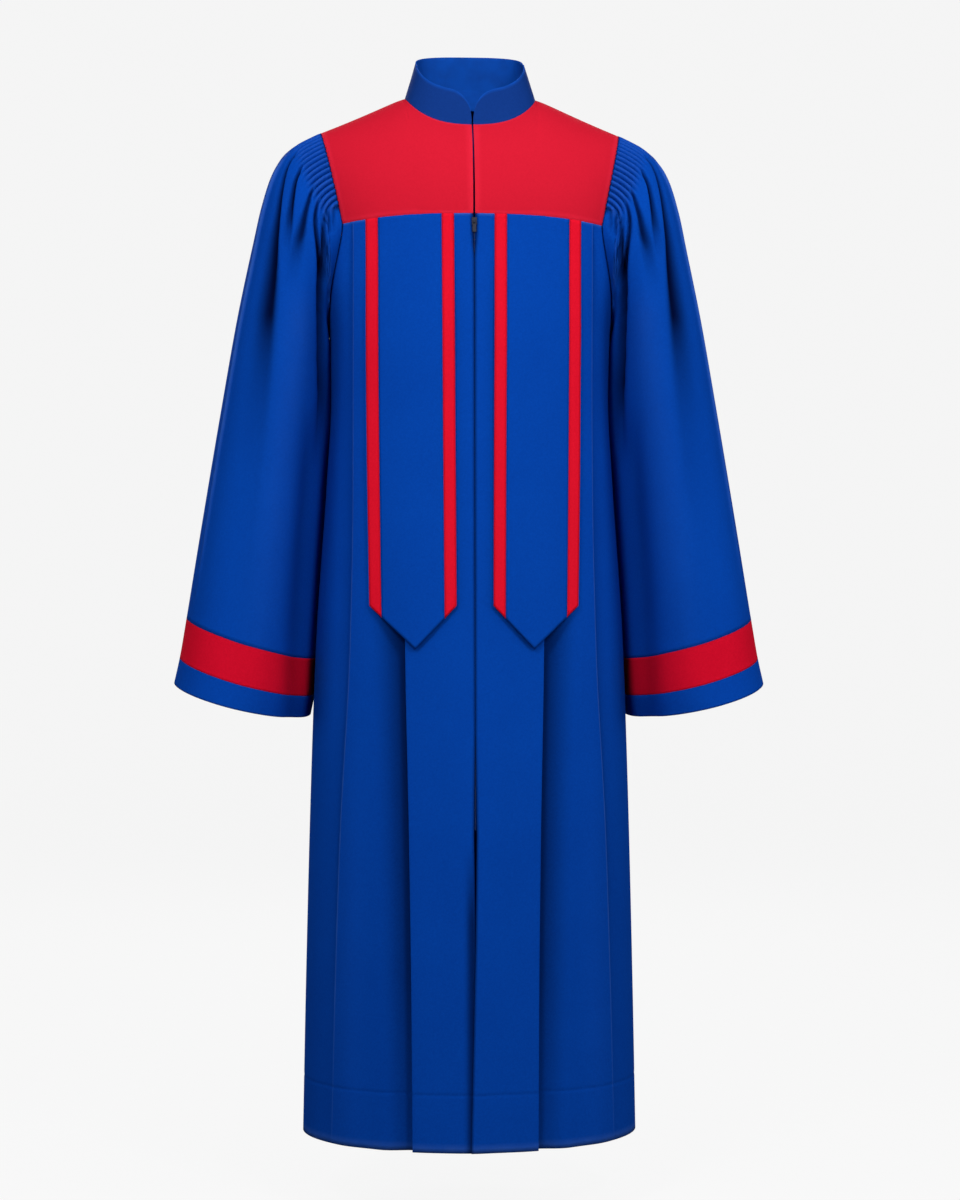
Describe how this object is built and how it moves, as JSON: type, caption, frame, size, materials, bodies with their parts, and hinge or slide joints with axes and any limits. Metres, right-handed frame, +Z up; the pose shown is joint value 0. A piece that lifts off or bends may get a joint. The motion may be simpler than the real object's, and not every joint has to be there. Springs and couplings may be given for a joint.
{
  "type": "choir robe",
  "caption": "Full-length hollow choir robe in its worn form, with a stand collar, contrasting yoke, fluted bell sleeves with bands, two hanging tabs and a front zip.",
  "frame": {"origin": "middle of the neck's base, level with the sides of the neckline, where the wearer's shoulders carry the robe", "axes": "+X to the wearer's left, +Y to the back, +Z up"},
  "size_m": [0.7504, 0.3261, 1.3775],
  "materials": {
    "blue_cloth": "matte woven polyester, royal blue, soft sheen",
    "red_cloth": "matte woven polyester, bright red, soft sheen",
    "blue_lining": "smooth blue lining",
    "zip_tape": "woven blue tape",
    "zip_coil": "blue nylon coil",
    "zip_metal": "dark blue lacquered zip metal"
  },
  "bodies": {
    "robe": {"back": "blue_cloth", "collar": "blue_cloth", "front_left": "blue_cloth", "front_right": "blue_cloth", "sleeve_left": "blue_cloth", "sleeve_right": "blue_cloth", "sleeve_band_left": "red_cloth", "sleeve_band_right": "red_cloth", "sleeve_hem_left": "blue_cloth", "sleeve_hem_right": "blue_cloth", "tab_left": "blue_cloth", "tab_right": "blue_cloth", "tab_band_left_inner": "red_cloth", "tab_band_left_outer": "red_cloth", "tab_band_right_inner": "red_cloth", "tab_band_right_outer": "red_cloth", "yoke_front_left": "red_cloth", "yoke_front_right": "red_cloth", "yoke_back": "red_cloth", "yoke_lining": "blue_lining", "zip_tape_left": "zip_tape", "zip_tape_right": "zip_tape", "zip_chain": "zip_coil", "zip_slider": "zip_metal"},
    "pull": {"zip_pull": "zip_metal"}
  },
  "joints": [
    {"name": "pull_swing", "type": "hinge", "parent": "robe", "child": "pull", "pos_m": [0, -0.12009, -0.1681], "axis": [-1, 0, 0], "range_deg": [0, 150]}
  ]
}
